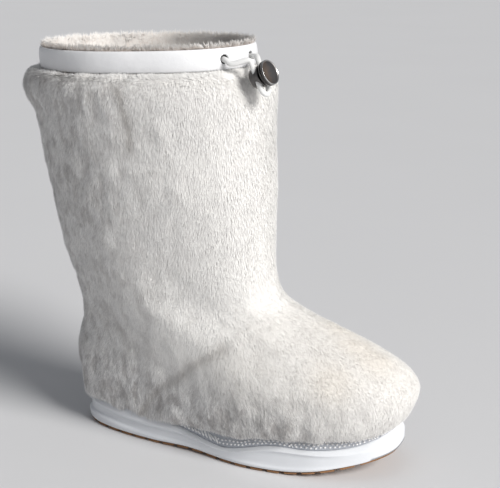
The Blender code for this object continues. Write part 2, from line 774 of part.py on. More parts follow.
def makeCord(material):
    curve = bpy.data.curves.new("drawcord", "CURVE")
    curve.dimensions = "3D"
    curve.bevel_depth = cordDiameter / 2
    curve.bevel_resolution = 2
    curve.use_fill_caps = True
    points = routeCurve(cordRoute, cordPitch)
    spline = curve.splines.new("POLY")
    spline.points.add(len(points) - 1)
    for point, place in zip(spline.points, points):
        point.co = (*place, 1.0)
    curve.materials.append(material)
    made = bpy.data.objects.new("drawcord", curve)
    boot.objects.link(made)
    return made


for old in list(bpy.data.objects):
    bpy.data.objects.remove(old, do_unlink=True)
boot = bpy.data.collections.new("mukluk_boot")
cutters = bpy.data.collections.new("cutters")
for collection in (boot, cutters):
    bpy.context.scene.collection.children.link(collection)

lastFrame = bpy.data.objects.new("last_frame", None)
lastFrame.location = (-heelToOrigin, 0.0, 0.0)
boot.objects.link(lastFrame)
toggleFrame = bpy.data.objects.new("toggle_frame", None)
sideways = Vector((0.0, 0.0, 1.0)).cross(toggleAxis).normalized()
upwards = toggleAxis.cross(sideways)
axes = Matrix((sideways, upwards, toggleAxis)).transposed()
toggleFrame.matrix_world = Matrix.Translation(toggleFace) @ axes.to_4x4()
boot.objects.link(toggleFrame)

gum = addMaterial("gum_rubber", (0.36, 0.20, 0.10), 0.55)
foam = addMaterial("white_foam", (0.82, 0.83, 0.85), 0.42)
randLeather = addMaterial("rand_leather", (0.68, 0.70, 0.74), 0.5)
shearling = addMaterial("shearling", (0.84, 0.83, 0.80), 0.9)
whiteLeather = addMaterial("white_leather", (0.86, 0.87, 0.89), 0.4)
felt = addMaterial("felt", (0.78, 0.75, 0.68), 0.9)
metal = addMaterial("polished_metal", (0.55, 0.53, 0.52), 0.18, 1.0)
cordWhite = addMaterial("cord", (0.82, 0.82, 0.80), 0.7)

makeOutsole(gum, lastFrame)
makeMidsole(foam, lastFrame)
makeInsole(felt, lastFrame)
makeRand(randLeather, lastFrame)
makeUpper(shearling, lastFrame)
makeBinding(whiteLeather, lastFrame)
makeCordLock(metal, toggleFrame)
makeCord(cordWhite)
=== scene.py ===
import math

import bmesh
import bpy
import numpy as np
from mathutils import Matrix, Vector, noise
from mathutils.bvhtree import BVHTree


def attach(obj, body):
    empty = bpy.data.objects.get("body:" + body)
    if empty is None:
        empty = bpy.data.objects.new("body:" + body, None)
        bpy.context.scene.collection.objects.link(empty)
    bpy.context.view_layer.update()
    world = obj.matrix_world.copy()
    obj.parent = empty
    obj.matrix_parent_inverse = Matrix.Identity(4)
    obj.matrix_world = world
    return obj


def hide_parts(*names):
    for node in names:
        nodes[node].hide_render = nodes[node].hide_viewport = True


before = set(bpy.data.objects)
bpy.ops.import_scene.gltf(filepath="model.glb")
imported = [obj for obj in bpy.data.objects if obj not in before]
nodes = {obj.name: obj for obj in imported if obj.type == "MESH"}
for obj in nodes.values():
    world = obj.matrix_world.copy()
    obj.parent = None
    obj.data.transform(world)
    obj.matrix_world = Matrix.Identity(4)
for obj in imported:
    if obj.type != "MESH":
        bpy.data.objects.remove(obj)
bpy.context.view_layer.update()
scene = bpy.context.scene
print("frame loaded")


# camera, at the photograph's angle

view = {
    "place": Vector((0.45706, -0.77278, 0.41056)),
    "target": Vector((0.113, 0.0, 0.168)),
    "lens": 80.7,
    "sensor": 36.0,
    "wide": 500,
    "high": 488,
}
cameraData = bpy.data.cameras.new("camera")
cameraData.lens = view["lens"]
cameraData.sensor_width = view["sensor"]
cameraData.clip_end = 60.0
camera = bpy.data.objects.new("camera", cameraData)
camera.location = view["place"]
camera.rotation_euler = (view["target"] - view["place"]).to_track_quat("-Z", "Y").to_euler()
scene.collection.objects.link(camera)
scene.camera = camera


def sightLine(pixel):
    # direction from the camera through a place in the photograph
    turn = (view["target"] - view["place"]).to_track_quat("-Z", "Y")
    across = (pixel[0] - view["wide"] / 2) / view["wide"] * view["sensor"]
    upward = (view["high"] / 2 - pixel[1]) / view["wide"] * view["sensor"]
    return turn @ Vector((across, upward, -view["lens"])).normalized()


# node graphs written as expressions

class Socket:
    def __init__(self, graph, link):
        self.graph = graph
        self.link = link

    def sum(self, operation, first, second):
        return self.graph.add("ShaderNodeMath", {"operation": operation}, {0: first, 1: second})

    def __add__(self, other):
        return self.sum("ADD", self, other)

    def __radd__(self, other):
        return self.sum("ADD", other, self)

    def __sub__(self, other):
        return self.sum("SUBTRACT", self, other)

    def __rsub__(self, other):
        return self.sum("SUBTRACT", other, self)

    def __mul__(self, other):
        return self.sum("MULTIPLY", self, other)

    def __rmul__(self, other):
        return self.sum("MULTIPLY", other, self)


class Graph:
    def __init__(self, tree):
        self.tree = tree

    def feed(self, socket, value):
        if isinstance(value, Socket):
            self.tree.links.new(value.link, socket)
        else:
            socket.default_value = value

    def add(self, kind, settings=None, inputs=None, output=0):
        made = self.tree.nodes.new(kind)
        for name, value in (settings or {}).items():
            setattr(made, name, value)
        for key, value in (inputs or {}).items():
            self.feed(made.inputs[key], value)
        return Socket(self, made.outputs[output])

    def mix(self, factor, first, second):
        return self.add("ShaderNodeMix", {"data_type": "RGBA"}, {0: factor, 6: first, 7: second}, 2)

    def vector(self, operation, first, second):
        return self.add("ShaderNodeVectorMath", {"operation": operation}, {0: first, 1: second})

    def window(self, value, low, high):
        # 0 below low, 1 above high
        return self.add("ShaderNodeMapRange", {"interpolation_type": "SMOOTHSTEP"},
                        {"Value": value, "From Min": low, "From Max": high})


class Finish(Graph):
    # a material; its constants go straight onto the shader's own sockets
    def __init__(self, name, constants):
        self.material = bpy.data.materials.new(name)
        self.material.use_nodes = True
        super().__init__(self.material.node_tree)
        self.shader = self.tree.nodes["Principled BSDF"]
        for key, value in constants.items():
            self.shader.inputs[key].default_value = value
        self.place = self.add("ShaderNodeTexCoord", output=3)

    def set(self, key, value):
        self.feed(self.shader.inputs[key], value)

    def spot(self, scale, detail=2.0, rough=0.5, stretch=(1.0, 1.0, 1.0), source=None):
        # soft noise in metres: scale is the number of spots in a metre
        at = self.add("ShaderNodeMapping", None, {"Vector": source or self.place, "Scale": stretch})
        return self.add("ShaderNodeTexNoise", None,
                        {"Vector": at, "Scale": scale, "Detail": detail, "Roughness": rough})

    def stored(self, name):
        return self.add("ShaderNodeAttribute", {"attribute_name": name}, output=2)

    def bump(self, height, distance, strength=1.0):
        self.set("Normal", self.add("ShaderNodeBump", None,
                                    {"Height": height, "Distance": distance, "Strength": strength}))


def tint(red, green, blue):
    return (red, green, blue, 1.0)


# shared mesh helpers

weldDistance = 0.00002
quadShape = 60.0               # degrees a four-sided face may lean off a square
trueEdge = 0.85                # crease that keeps an edge of the CAD
farAway = 9.0                  # stands for nothing met, in metres


def newPiece(name, mesh, finish, body="boot"):
    piece = bpy.data.objects.new(name, mesh)
    scene.collection.objects.link(piece)
    for material in finish if isinstance(finish, list) else [finish]:
        mesh.materials.append(material.material)
    mesh.shade_smooth()
    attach(piece, body)
    return piece


def applied(piece):
    # the mesh with its modifiers worked in
    graph = bpy.context.evaluated_depsgraph_get()
    mesh = bpy.data.meshes.new_from_object(piece.evaluated_get(graph), preserve_all_data_layers=True,
                                           depsgraph=graph)
    old = piece.data
    piece.modifiers.clear()
    piece.data = mesh
    bpy.data.meshes.remove(old)
    return mesh


def pointsOf(mesh):
    values = np.empty(len(mesh.vertices) * 3)
    mesh.vertices.foreach_get("co", values)
    return values.reshape(-1, 3)


def normalsOf(mesh):
    values = np.empty(len(mesh.vertices) * 3)
    mesh.vertex_normals.foreach_get("vector", values)
    return values.reshape(-1, 3)


def store(mesh, name, values, kind="FLOAT"):
    layer = mesh.attributes.new(name, kind, "POINT")
    field = "vector" if kind == "FLOAT_VECTOR" else "value"
    layer.data.foreach_set(field, np.asarray(values, dtype=np.float32).reshape(-1))


def merged(node, quadAngle):
    # a welded copy of a CAD node's loose triangles, joined to four-sided faces
    shape = bmesh.new()
    shape.from_mesh(nodes[node].data)
    bmesh.ops.remove_doubles(shape, verts=shape.verts, dist=weldDistance)
    bmesh.ops.join_triangles(shape, faces=shape.faces, angle_face_threshold=math.radians(quadAngle),
                             angle_shape_threshold=math.radians(quadShape))
    return shape


def softened(name, node, levels, sharpAngle, finish, quadAngle):
    # the CAD shape with its facets rounded off and its true edges kept
    shape = merged(node, quadAngle)
    crease = shape.edges.layers.float.new("crease_edge")
    for edge in shape.edges:
        if edge.is_manifold and edge.calc_face_angle(0.0) > math.radians(sharpAngle):
            edge[crease] = trueEdge
    mesh = bpy.data.meshes.new(name)
    shape.to_mesh(mesh)
    shape.free()
    piece = newPiece(name, mesh, finish)
    rounding = piece.modifiers.new("rounding", "SUBSURF")
    rounding.levels = levels
    rounding.render_levels = levels
    applied(piece)
    piece.data.shade_smooth()
    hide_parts(node)
    return piece


def treeOf(node):
    flatAngle = 5.0
    shape = merged(node, flatAngle)
    tree = BVHTree.FromBMesh(shape)
    shape.free()
    return tree


# drawcord, through the cord lock and back into the collar

cord = {
    "diameter": 0.0042,
    "steps": 260,          # rings along the cord
    "resolution": 5,       # roundness of a ring
    "strands": 14,
    "pitch": 0.0085,       # length of one turn of the braid
    "relief": 0.00016,
}
cordRoute = [
    (0.1022, -0.0269, 0.3147), (0.1062, -0.0295, 0.3145), (0.1090, -0.0313, 0.3134),
    (0.1118, -0.0318, 0.3122), (0.1154, -0.0311, 0.3124), (0.1192, -0.0298, 0.3136),
    (0.1227, -0.0284, 0.3146), (0.1253, -0.0274, 0.3141), (0.1268, -0.0274, 0.3111),
    (0.1307, -0.0281, 0.3027), (0.1334, -0.0286, 0.2967), (0.1342, -0.0287, 0.2951),
    (0.1359, -0.0276, 0.2920), (0.1371, -0.0244, 0.2907), (0.1371, -0.0209, 0.2920),
    (0.1359, -0.0192, 0.2951), (0.1351, -0.0192, 0.2967), (0.1324, -0.0186, 0.3027),
    (0.1285, -0.0179, 0.3111), (0.1271, -0.0169, 0.3136), (0.1250, -0.0136, 0.3151),
    (0.1219, -0.0083, 0.3156), (0.1183, -0.0035, 0.3151), (0.1148, -0.0016, 0.3146),
    (0.1107, -0.0013, 0.3143),
]


def smoothRoute(points, steps):
    # the same places joined by one smooth curve, evenly stepped
    points = np.array(points)
    padded = np.vstack([2 * points[0] - points[1], points, 2 * points[-1] - points[-2]])
    fine = []
    for number in range(len(points) - 1):
        before, start, end, after = padded[number:number + 4]
        for share in np.linspace(0, 1, 20, endpoint=False):
            fine.append(0.5 * (2 * start + (end - before) * share
                               + (2 * before - 5 * start + 4 * end - after) * share ** 2
                               + (3 * start - before - 3 * end + after) * share ** 3))
    fine.append(points[-1])
    fine = np.array(fine)
    along = np.concatenate([[0], np.cumsum(np.linalg.norm(np.diff(fine, axis=0), axis=1))])
    wanted = np.linspace(0, along[-1], steps)
    return np.column_stack([np.interp(wanted, along, fine[:, axis]) for axis in range(3)]), along[-1]


def makeCord():
    finish = Finish("cordBraid", {"Roughness": 0.72, "Sheen Weight": 0.25})
    relief = finish.stored("braid")
    thread = finish.spot(2600, 2.0)
    # the braid's raised strands are lighter and its grooves darker: painted shade between the strands,
    # mixed with thread noise
    finish.set("Base Color", finish.mix(relief * 0.8 + thread * 0.3, tint(0.62, 0.62, 0.61),
                                        tint(0.93, 0.93, 0.92)))
    finish.bump(thread, 0.00012, 0.6)
    path, length = smoothRoute(cordRoute, cord["steps"])
    curve = bpy.data.curves.new("cordLine", "CURVE")
    curve.dimensions = "3D"
    curve.bevel_depth = cord["diameter"] / 2 - cord["relief"] / 2
    curve.bevel_resolution = cord["resolution"]
    line = curve.splines.new("POLY")
    line.points.add(len(path) - 1)
    for point, place in zip(line.points, path):
        point.co = (*place, 1.0)
    tube = bpy.data.objects.new("cordTube", curve)
    scene.collection.objects.link(tube)
    mesh = bpy.data.meshes.new_from_object(tube.evaluated_get(bpy.context.evaluated_depsgraph_get()))
    bpy.data.objects.remove(tube)
    ring = len(mesh.vertices) // len(path)
    places = np.empty(len(mesh.vertices) * 3)
    mesh.vertices.foreach_get("co", places)
    places = places.reshape(len(path), ring, 3)
    along = np.linspace(0, length, len(path))[:, None]
    turn = np.arange(ring)[None, :] / ring * 2 * math.pi
    half = cord["strands"] / 2
    wind = 2 * math.pi * along / cord["pitch"] * half
    height = np.abs(np.sin((half * turn + wind) / 2)) * np.abs(np.sin((half * turn - wind) / 2))
    outward = places - path[:, None, :]
    outward /= np.linalg.norm(outward, axis=2, keepdims=True)
    places = places + outward * (height[..., None] * cord["relief"])
    mesh.vertices.foreach_set("co", places.reshape(-1))
    braid = mesh.attributes.new("braid", "FLOAT", "POINT")
    braid.data.foreach_set("value", height.reshape(-1))
    shape = bmesh.new()
    shape.from_mesh(mesh)
    bmesh.ops.holes_fill(shape, edges=shape.edges)
    shape.to_mesh(mesh)
    shape.free()
    piece = newPiece("braidedCord", mesh, finish)
    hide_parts("drawcord")
    return piece, path, length


braidedCord, cordPath, cordLength = makeCord()
print("cord", round(cordLength * 1000, 1), "mm")


# cord lock: barrel of the CAD with a metal finish, and a spun head

lock = {
    "face": Vector((0.1405, -0.0250, 0.3070)),
    "axis": Vector((0.889, -0.161, 0.426)).normalized(),
    "headRadius": 0.0095,
    "headThickness": 0.0042,
    "rimWidth": 0.0008,
    "dish": 0.0006,        # how far the face lies under the rim
    "stemRadius": 0.0015,
    "stemLength": 0.0072,
    "steps": 96,
}


def metalFinish(name, dark, light, rough):
    finish = Finish(name, {"Metallic": 1.0, "Coat Weight": 0.2, "Coat Roughness": 0.15})
    wear = finish.spot(420, 4.0, 0.65)
    scratch = finish.spot(1600, 2.0, 0.6, (1.0, 6.0, 1.0))
    finish.set("Base Color", finish.mix(wear * 0.8 + scratch * 0.3, dark, light))
    finish.set("Roughness", rough + wear * 0.12 + scratch * 0.08)
    finish.bump(scratch, 0.00004, 0.35)
    return finish


def headFinish():
    # a dull face, warm toward one side, inside a bright rim, over a nearly black side band; the warm side
    # is a painted reflection and the black band is painted shade
    finish = Finish("lockHeadMetal", {"Metallic": 1.0, "Coat Weight": 0.25, "Coat Roughness": 0.1})
    radial = finish.stored("radial")
    depth = finish.stored("depth")
    across = finish.stored("across")
    wear = finish.spot(330, 4.0, 0.65)
    brush = finish.spot(1500, 2.0, 0.6, (1.0, 5.0, 1.0))
    # warm toward one side of the face: painted reflection, broken up by wear noise
    face = finish.mix(finish.window(across * -0.6 + wear * 0.9, 0.25, 0.95), tint(0.24, 0.225, 0.22),
                      tint(0.52, 0.36, 0.26))
    face = finish.mix(brush * 0.35, face, tint(0.34, 0.33, 0.33))
    rim = finish.window(radial, 0.90, 0.93)
    tone = finish.mix(rim, face, tint(0.58, 0.57, 0.56))
    # nearly black from just behind the rim: painted shade on the head's side
    tone = finish.mix(finish.window(depth, 0.09, 0.20), tone, tint(0.055, 0.052, 0.052))
    finish.set("Base Color", tone)
    finish.set("Roughness", 0.30 - rim * 0.16 + wear * 0.10)
    finish.bump(brush, 0.00004, 0.3)
    return finish


def spun(profile, steps):
    # a closed turned shape round Z from its half profile
    shape = bmesh.new()
    verts = [shape.verts.new((radius, 0.0, height)) for radius, height in profile]
    edges = [shape.edges.new(pair) for pair in zip(verts, verts[1:])]
    bmesh.ops.spin(shape, geom=verts + edges, cent=(0, 0, 0), axis=(0, 0, 1), angle=2 * math.pi,
                   steps=steps, use_merge=True)
    bmesh.ops.remove_doubles(shape, verts=shape.verts, dist=0.000005)
    bmesh.ops.recalc_face_normals(shape, faces=shape.faces)
    return shape


def makeLock():
    bright = metalFinish("gunMetal", tint(0.05, 0.048, 0.048), tint(0.20, 0.19, 0.185), 0.20)
    nodes["toggle_barrel"].data.materials.clear()
    nodes["toggle_barrel"].data.materials.append(bright.material)
    radius = lock["headRadius"]
    back = -lock["headThickness"]
    rim = lock["rimWidth"]
    dish = -lock["dish"]
    stem = lock["stemRadius"]
    end = back - lock["stemLength"]
    # from the middle of the face over its rim and the groove in its side to the end of the stem
    profile = [
        (0.0, dish + 0.00015), (radius * 0.45, dish + 0.00010),
        (radius - rim - 0.0006, dish), (radius - rim - 0.0002, dish + 0.00005),
        (radius - rim, dish * 0.35), (radius - rim * 0.72, -0.00004),
        (radius - rim * 0.45, 0.0), (radius - 0.0003, -0.00008),
        (radius - 0.00008, -0.0003), (radius, -0.0007),
        (radius, -0.0017), (radius - 0.00018, -0.00185),
        (radius - 0.00018, -0.00205), (radius, -0.0022),
        (radius, back + 0.0008), (radius - 0.00025, back + 0.00025),
        (radius - 0.0008, back), (stem + 0.0004, back),
        (stem, back - 0.0004), (stem, end + 0.0004),
        (stem - 0.0004, end), (0.0, end),
    ]
    shape = spun(profile, lock["steps"])
    sideways = Vector((0, 0, 1)).cross(lock["axis"]).normalized()
    upward = lock["axis"].cross(sideways)
    turn = Matrix((sideways, upward, lock["axis"])).transposed().to_4x4()
    bmesh.ops.transform(shape, matrix=Matrix.Translation(lock["face"]) @ turn, verts=shape.verts)
    mesh = bpy.data.meshes.new("lockHead")
    shape.to_mesh(mesh)
    shape.free()
    local = (pointsOf(mesh) - np.array(lock["face"])) @ np.array((sideways, upward, lock["axis"])).T
    store(mesh, "radial", np.linalg.norm(local[:, :2], axis=1) / radius)
    store(mesh, "depth", -local[:, 2] / lock["headThickness"])
    store(mesh, "across", local[:, 0] / radius)
    head = newPiece("lockHead", mesh, headFinish(), body="plunger")
    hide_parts("toggle_plunger")
    return head


lockHead = makeLock()
print("cord lock")


# sole: foam midsole and gum outsole

def makeSole():
    foam = Finish("mouldedFoam", {"Roughness": 0.46, "Specular IOR Level": 0.42})
    cloud = foam.spot(28, 3.0)
    pores = foam.spot(1500, 2.0, 0.6)
    scuff = foam.window(foam.spot(240, 5.0, 0.7), 0.58, 0.80)
    tone = foam.mix(cloud, tint(0.67, 0.69, 0.72), tint(0.76, 0.775, 0.80))
    foam.set("Base Color", foam.mix(scuff * 0.22, tone, tint(0.62, 0.62, 0.62)))
    foam.set("Roughness", 0.40 + pores * 0.14 + scuff * 0.12)
    foam.bump(pores * 0.6 + cloud * 0.4, 0.00012, 0.35)
    midsole = softened("foamMidsole", "midsole", 2, 14, foam, 12)
    gum = Finish("gumRubber", {"Roughness": 0.6, "Specular IOR Level": 0.35})
    grain = gum.spot(900, 3.0)
    patch = gum.spot(60, 3.0)
    gum.set("Base Color", gum.mix(patch * 0.7 + grain * 0.3, tint(0.22, 0.105, 0.045),
                                  tint(0.40, 0.215, 0.105)))
    gum.set("Roughness", 0.48 + grain * 0.2)
    gum.bump(grain, 0.00025, 0.5)
    outsole = softened("gumOutsole", "outsole", 1, 20, gum, 10)
    felt = Finish("insoleFelt", {"Roughness": 0.92, "Sheen Weight": 0.3})
    fibre = felt.spot(1300, 4.0, 0.7)
    felt.set("Base Color", felt.mix(fibre, tint(0.50, 0.45, 0.38), tint(0.80, 0.76, 0.68)))
    felt.bump(fibre, 0.0006, 0.8)
    softened("feltInsole", "insole", 1, 35, felt, 20)
    return midsole, outsole


midsole, outsole = makeSole()
print("sole", len(midsole.data.polygons), len(outsole.data.polygons))


# collar binding

def makeBinding():
    leather = Finish("bindingLeather", {"Roughness": 0.42, "Specular IOR Level": 0.45})
    pebble = leather.add("ShaderNodeTexVoronoi", {"feature": "SMOOTH_F1"},
                         {"Vector": leather.place, "Scale": 1500.0, "Smoothness": 0.6})
    cloud = leather.spot(45, 3.0)
    wrinkle = leather.spot(110, 3.0, 0.55)
    leather.set("Base Color", leather.mix(cloud, tint(0.72, 0.725, 0.74), tint(0.84, 0.84, 0.85)))
    leather.set("Roughness", 0.34 + pebble * 0.22 + cloud * 0.06)
    leather.bump(wrinkle * 1.2 - pebble * 0.2, 0.0007, 0.4)
    return softened("leatherBinding", "collar_binding", 2, 40, leather, 25)


eyelets = (
    {"centre": Vector((0.11362, -0.00136, 0.31517)), "facing": Vector((1.0, -0.02, 0.0)).normalized()},
    {"centre": Vector((0.10524, -0.02890, 0.31490)), "facing": Vector((0.84, -0.543, 0.0)).normalized()},
)
# near-black discs of painted shade behind the eyelets
shadeDisc = {
    "depth": 0.0013,       # how far its middle lies behind the eyelet's
    "backRadius": 0.0031,
    "frontRadius": 0.0034,
    "thickness": 0.0005,
    "sides": 32,
}


def makeEyeletShade():
    # near-black discs behind the eyelets, where the channel begins: painted shade inside the eyelet holes
    dark = Finish("channelFelt", {"Roughness": 0.95})
    dark.set("Base Color", dark.mix(dark.spot(900, 2.0), tint(0.010, 0.010, 0.011),
                                    tint(0.045, 0.042, 0.04)))
    shape = bmesh.new()
    for hole in eyelets:
        turn = hole["facing"].to_track_quat("Z", "Y").to_matrix().to_4x4()
        place = Matrix.Translation(hole["centre"] - hole["facing"] * shadeDisc["depth"]) @ turn
        bmesh.ops.create_cone(shape, cap_ends=True, segments=shadeDisc["sides"],
                              radius1=shadeDisc["backRadius"], radius2=shadeDisc["frontRadius"],
                              depth=shadeDisc["thickness"], matrix=place)
    mesh = bpy.data.meshes.new("eyeletThroats")
    shape.to_mesh(mesh)
    shape.free()
    newPiece("eyeletThroats", mesh, dark)


makeEyeletShade()
binding = makeBinding()
print("binding", len(binding.data.polygons))


# rand with its stitches and ribs

rand = {
    "stitchPitch": 0.0038,
    "stitchLength": 0.0023,
    "stitchRadius": 0.00070,
    "rows": (0.34, 0.68),      # shares of the band's height
    "ribPitch": 0.0036,
    "ribRadius": 0.00075,
    "ribLean": 38.0,           # degrees off the row
    "waist": (0.060, 0.104),   # the ribs stand between these places along the sole
    "ribShare": 0.46,          # half a rib's length as a share of the band's height
    "flat": 1.25,              # a stitch is this much wider than it is thick
    "heelEnd": -0.004,
    "toeEnd": 0.175,
    "straightRays": 400,
    "turnRays": 300,
    "scan": (0.012, 0.075),    # heights that are searched for the band
    "scanStep": 0.0007,
    "scanReach": 0.20,
}


def outline():
    # origins and directions of level rays that go round the boot
    spine = np.linspace(rand["heelEnd"], rand["toeEnd"], rand["straightRays"])
    quarter = np.linspace(-math.pi / 2, math.pi / 2, rand["turnRays"])
    rays = [((x, 0.0), (0.0, -1.0)) for x in spine]
    rays += [((rand["toeEnd"], 0.0), (math.cos(turn), math.sin(turn))) for turn in quarter]
    rays += [((x, 0.0), (0.0, 1.0)) for x in spine[::-1]]
    rays += [((rand["heelEnd"], 0.0), (math.cos(turn), math.sin(turn))) for turn in quarter + math.pi]
    return rays


def bandRound():
    # the rand's free band all round: its lowest and highest places and its outward direction
    trees = {node: treeOf(node) for node in ("rand", "midsole", "upper")}
    stations = []
    for (x, y), (across, over) in outline():
        direction = Vector((across, over, 0.0))
        free = []
        for height in np.arange(*rand["scan"], rand["scanStep"]):
            start = Vector((x, y, float(height))) + direction * rand["scanReach"]
            reach = {}
            for node, tree in trees.items():
                hit = tree.ray_cast(start, -direction, rand["scanReach"])
                reach[node] = hit[3] if hit[0] is not None else farAway
                if node == "rand":
                    randHit = hit
            if reach["rand"] < min(reach["midsole"], reach["upper"]) and reach["rand"] < farAway:
                free.append((randHit[0], randHit[1]))
        if free:
            stations.append((free[0][0], free[-1][0], direction))
    return stations, trees["rand"]


def makeRand():
    leather = Finish("randLeather", {"Roughness": 0.5, "Specular IOR Level": 0.4})
    grain = leather.spot(1100, 3.0, 0.6)
    cloud = leather.spot(70, 3.0)
    leather.set("Base Color", leather.mix(cloud * 0.7 + grain * 0.3, tint(0.33, 0.35, 0.39),
                                          tint(0.52, 0.54, 0.58)))
    leather.set("Roughness", 0.42 + grain * 0.2)
    leather.bump(grain + cloud * 0.5, 0.0003, 0.5)
    strip = softened("randStrip", "rand", 2, 40, leather, 25)
    thread = Finish("randThread", {"Roughness": 0.6, "Sheen Weight": 0.2})
    twist = thread.spot(2400, 1.0)
    thread.set("Base Color", thread.mix(twist, tint(0.78, 0.78, 0.78), tint(0.95, 0.95, 0.95)))
    thread.bump(twist, 0.0001, 0.6)
    stations, tree = bandRound()
    stitches = bmesh.new()
    heights = [(high - low).length for low, high, _ in stations]
    rows = [(share, rand["stitchPitch"], False) for share in rand["rows"]]
    rows.append((0.5, rand["ribPitch"], True))
    for share, pitch, slanted in rows:
        places = np.array([low.lerp(high, share) for low, high, _ in stations])
        along = np.concatenate([[0], np.cumsum(np.linalg.norm(np.diff(places, axis=0), axis=1))])
        for number in range(int(along[-1] / pitch)):
            index = min(int(np.searchsorted(along, (number + 0.5) * pitch)), len(places) - 2)
            mark = Vector(places[index])
            tangent = Vector(places[index + 1] - places[index - 1]).normalized()
            near, normal, _, _ = tree.find_nearest(mark)
            waist = rand["waist"][0] < mark.x < rand["waist"][1]
            if near is None or tangent.length < 0.5 or waist != slanted:
                continue
            side = normal.cross(tangent).normalized()
            long, thick = rand["stitchLength"] / 2, rand["stitchRadius"]
            if slanted:
                long, thick = heights[index] * rand["ribShare"], rand["ribRadius"]
                lean = math.radians(rand["ribLean"]) * (1 if mark.y > 0 else -1)
                tangent, side = (tangent * math.cos(lean) + side * math.sin(lean),
                                 side * math.cos(lean) - tangent * math.sin(lean))
            turn = Matrix((tangent, side, normal)).transposed().to_4x4()
            size = Matrix.Diagonal((long, thick * rand["flat"], thick, 1.0))
            bmesh.ops.create_icosphere(stitches, subdivisions=1, radius=1.0,
                                       matrix=Matrix.Translation(near) @ turn @ size)
    mesh = bpy.data.meshes.new("randStitches")
    stitches.to_mesh(mesh)
    stitches.free()
    sewn = newPiece("randStitches", mesh, thread)
    return strip, sewn


randStrip, randStitches = makeRand()
print("rand", len(randStrip.data.polygons), len(randStitches.data.polygons))


# shearling: skin, outer pile and lining

skin = {
    "sink": 0.0012,         # the pile stands on a skin that lies this far under the outline
    "levels": 2,
    "easeFrom": 0.070,      # heights between which the pile hides the folds under it
    "easeTo": 0.215,
    "easeFade": 0.030,
    "easePasses": 140,
    "easeFront": (0.085, 0.115),   # places along the sole between which it weakens
    "easeFrontLoss": 0.7,
    "facing": (-0.05, 0.20),       # outward slope at which the lining becomes the outside
    "roll": (0.2990, 0.3005),      # heights at which the top edge counts as outside
    "rollFacing": 0.2,
    "underFacing": (0.45, 0.75),   # downward slope and heights of the bare underside
    "underTop": (0.055, 0.065),
    "swellLeast": 0.16,
    "swell": 0.0019,        # depth and closeness of the soft tufts
    "swellScale": 75.0,
    # line through the middle of the boot, along and up
    "spine": ((0.038, 0.340), (0.046, 0.200), (0.054, 0.120),
              (0.064, 0.070), (0.110, 0.046), (0.215, 0.036)),
    # lines and spots, as places in the photograph
    "seam": ((144.8, 406.4), (147.3, 395.5), (163, 383.3), (181.2, 373.6), (193.3, 362.7), (211.5, 353),
             (222.4, 345.8)),
    "crease": ((84, 298), (100, 312), (114.5, 322.7), (125.5, 328.8)),
    "parting": ((118, 87), (122, 101), (126, 115.7), (129, 130), (130, 144.4)),
    "cream": ((355, 345), (330, 380), (372, 358), (340, 330)),
}
pile = {
    "shaftLength": 0.0047,
    "vampLength": 0.0046,
    "width": 0.00088,
    "lift": 0.0016,
    "wander": 0.40,         # how far neighbouring locks lean apart in tufts
    "tuft": 95.0,           # tufts in a metre
    "sweep": 26.0,
    "locks": 160000,         # in each of the four parts of the pile
    "seed": 7,
}
lining = {
    "length": 0.0075,
    "width": 0.0013,
    "lift": 0.0042,
    "wander": 1.1,
    "tuft": 150.0,
    "sweep": 40.0,
    "locks": 70000,
    "seed": 21,
}
rimFluff = {
    "length": 0.0048,
    "width": 0.0011,
    "lift": 0.0034,
    "wander": 1.0,
    "tuft": 170.0,
    "sweep": 60.0,
    "locks": 40000,
    "seed": 33,
}
growth = {
    "tuftLean": 2.0,        # leans of the tufts, of the wide sweeps and of single locks
    "sweepLean": 1.4,
    "singleLean": 0.45,
    "sizes": (0.65, 1.25),
    "lifts": (0.35, 1.35),
}
tufted = {
    "back": (-0.02, 0.10),   # places along the sole between which the tufts fade
    "low": (0.035, 0.090),   # and heights
    "toe": (0.15, 0.22),
    "least": 0.06,
    "backShare": 0.62,
    "lowShare": 0.90,
    "lowLoss": 0.4,
    "toeLoss": 0.75,
}
paintedShadeLines = {
    "seam": (0.75, 0.0042),  # strength and reach of the painted shade along it
    "crease": (0.35, 0.0045),
    "parting": (0.85, 0.0034),
}
creamTint = {
    "reach": 0.016,
    "footShare": 0.22,
    "along": (0.09, 0.14),
    "up": (0.11, 0.14),
}
combing = {
    "footAlong": (0.085, 0.135),
    "footUp": (0.125, 0.175),
    "lowUp": (0.035, 0.075),
    "plunge": 1.3,
    "halfWidth": 0.05,
    "rim": (0.3005, 0.3045),
    "middle": 0.025,
    "rimReach": 0.06,
}
zones = {
    "foot": (0.110, 0.145),      # heights at which the foot's pile meets the shaft's
    "side": (-0.012, 0.012),     # and places across at which the two sides meet
    "lower": (0.035, 0.070),     # longer pile along the lower edge, most at the heel
    "lowerLength": 0.0040,
    "lowerLoss": 0.0036,
    "lowerAlong": (0.04, 0.09),
    "trimAlong": (0.06, 0.10),   # shorter pile over the rand
    "trimUp": (0.034, 0.048),
    "trimLength": 0.0021,
    "topUp": (0.294, 0.302),     # and under the binding
    "topLength": 0.0012,
    "liningUp": (0.10, 0.20),
    "rimFacing": 0.15,
    "eyeletClear": (0.0055, 0.0085),
}


def clamp(values):
    return np.clip(values, 0.0, 1.0)


def smoothStep(values, low, high):
    share = clamp((values - low) / (high - low))
    return share * share * (3 - 2 * share)


def traced(tree, pixels):
    # where a line in the photograph falls on the boot, closely stepped
    places = []
    for start, end in zip(pixels, pixels[1:]):
        for share in np.linspace(0, 1, 12):
            pixel = (start[0] + (end[0] - start[0]) * share, start[1] + (end[1] - start[1]) * share)
            hit = tree.ray_cast(view["place"], sightLine(pixel))
            if hit[0] is not None:
                places.append(hit[0])
    return np.array(places)


def nearness(points, places, reach):
    if len(places) == 0:
        return np.zeros(len(points))
    best = np.full(len(points), farAway)
    for place in places:
        best = np.minimum(best, np.linalg.norm(points - place, axis=1))
    return np.exp(-(best / reach) ** 2)


